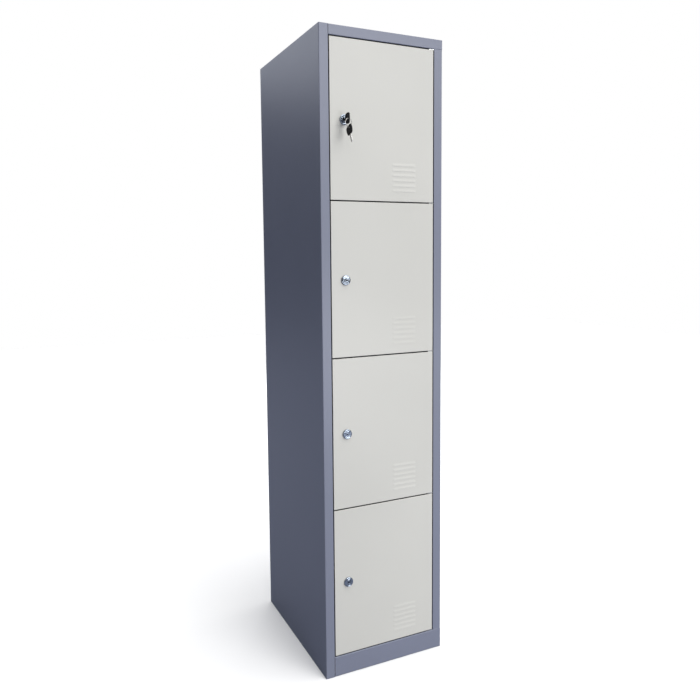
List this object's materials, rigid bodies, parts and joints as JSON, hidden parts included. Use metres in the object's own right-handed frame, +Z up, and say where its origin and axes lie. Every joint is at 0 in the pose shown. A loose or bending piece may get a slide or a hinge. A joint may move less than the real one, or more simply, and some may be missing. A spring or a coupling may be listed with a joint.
{
  "type": "locker cabinet",
  "caption": "Tall narrow steel locker with a column of equal hinged doors, round cam locks, louvred vents and a key on a ring in the top lock.",
  "frame": {"origin": "on the floor at the middle of the back, where the floor meets the wall", "axes": "+Z up, +X to the right of a person facing the doors, -Y out of the doors towards that person, +Y into the wall"},
  "size_m": [0.39, 0.553, 1.85],
  "materials": {
    "body_paint": "satin powder coat, blue-grey",
    "door_paint": "satin powder coat, pale grey",
    "lock_chrome": "polished chrome plate",
    "zinc_steel": "bright zinc plate",
    "bright_steel": "bright nickel-plated steel",
    "bush_nylon": "natural nylon",
    "bumper_rubber": "soft black rubber",
    "key_plastic": "fine-grained black moulding"
  },
  "bodies": {
    "root": {"left_side_panel": "body_paint", "right_side_panel": "body_paint", "top_panel": "body_paint", "bottom_panel": "body_paint", "back_panel": "body_paint", "back_panel_screws": "zinc_steel", "shelf_1": "body_paint", "shelf_2": "body_paint", "shelf_3": "body_paint", "hinge_bracket_1": "zinc_steel", "hinge_bracket_2": "zinc_steel", "hinge_bracket_3": "zinc_steel", "hinge_bracket_4": "zinc_steel", "hinge_bracket_5": "zinc_steel", "hinge_pins": "bright_steel", "hinge_rivets": "zinc_steel", "door_bumpers": "bumper_rubber"},
    "door_1": {"door_skin_1": "door_paint", "door_stiffener_1": "door_paint", "door_bushes_1": "bush_nylon", "lock_housing_1": "lock_chrome", "lock_nut_1": "zinc_steel"},
    "lock_1": {"lock_plug_1": "lock_chrome", "lock_cam_1": "zinc_steel", "cam_screw_1": "zinc_steel"},
    "door_2": {"door_skin_2": "door_paint", "door_stiffener_2": "door_paint", "door_bushes_2": "bush_nylon", "lock_housing_2": "lock_chrome", "lock_nut_2": "zinc_steel"},
    "lock_2": {"lock_plug_2": "lock_chrome", "lock_cam_2": "zinc_steel", "cam_screw_2": "zinc_steel"},
    "door_3": {"door_skin_3": "door_paint", "door_stiffener_3": "door_paint", "door_bushes_3": "bush_nylon", "lock_housing_3": "lock_chrome", "lock_nut_3": "zinc_steel"},
    "lock_3": {"lock_plug_3": "lock_chrome", "lock_cam_3": "zinc_steel", "cam_screw_3": "zinc_steel"},
    "door_4": {"door_skin_4": "door_paint", "door_stiffener_4": "door_paint", "door_bushes_4": "bush_nylon", "lock_housing_4": "lock_chrome", "lock_nut_4": "zinc_steel"},
    "lock_4": {"lock_plug_4": "lock_chrome", "lock_cam_4": "zinc_steel", "cam_screw_4": "zinc_steel"},
    "key": {"key_blade": "bright_steel", "key_bow": "key_plastic"},
    "ring": {"key_ring": "bright_steel"},
    "spare_key": {"spare_key_blade": "bright_steel", "spare_key_bow": "key_plastic"}
  },
  "joints": [
    {"name": "door_1_hinge", "type": "hinge", "parent": "root", "child": "door_1", "pos_m": [0.155, -0.494, 1.60044], "axis": [0, 0, 1], "range_deg": [0, 120]},
    {"name": "door_2_hinge", "type": "hinge", "parent": "root", "child": "door_2", "pos_m": [0.155, -0.494, 1.16081], "axis": [0, 0, 1], "range_deg": [0, 120]},
    {"name": "door_3_hinge", "type": "hinge", "parent": "root", "child": "door_3", "pos_m": [0.155, -0.494, 0.72119], "axis": [0, 0, 1], "range_deg": [0, 120]},
    {"name": "door_4_hinge", "type": "hinge", "parent": "root", "child": "door_4", "pos_m": [0.155, -0.494, 0.28156], "axis": [0, 0, 1], "range_deg": [0, 120]},
    {"name": "lock_1_turn", "type": "hinge", "parent": "door_1", "child": "lock_1", "pos_m": [-0.122, -0.5, 1.60044], "axis": [0, 1, 0], "range_deg": [0, 90]},
    {"name": "lock_2_turn", "type": "hinge", "parent": "door_2", "child": "lock_2", "pos_m": [-0.122, -0.5, 1.16081], "axis": [0, 1, 0], "range_deg": [0, 90]},
    {"name": "lock_3_turn", "type": "hinge", "parent": "door_3", "child": "lock_3", "pos_m": [-0.122, -0.5, 0.72119], "axis": [0, 1, 0], "range_deg": [0, 90]},
    {"name": "lock_4_turn", "type": "hinge", "parent": "door_4", "child": "lock_4", "pos_m": [-0.122, -0.5, 0.28156], "axis": [0, 1, 0], "range_deg": [0, 90]},
    {"name": "key_slide", "type": "slide", "parent": "lock_1", "child": "key", "axis": [0, -1, 0], "range_m": [0, 0.026]},
    {"name": "ring_swing", "type": "hinge", "parent": "key", "child": "ring", "pos_m": [-0.122, -0.5295, 1.59884], "axis": [0.9781, 0.2079, 0], "range_deg": [-30, 10]},
    {"name": "spare_key_swing", "type": "hinge", "parent": "ring", "child": "spare_key", "pos_m": [-0.122, -0.5295, 1.57684], "axis": [0.9994, 0.0349, 0], "range_deg": [-20, 18]}
  ]
}
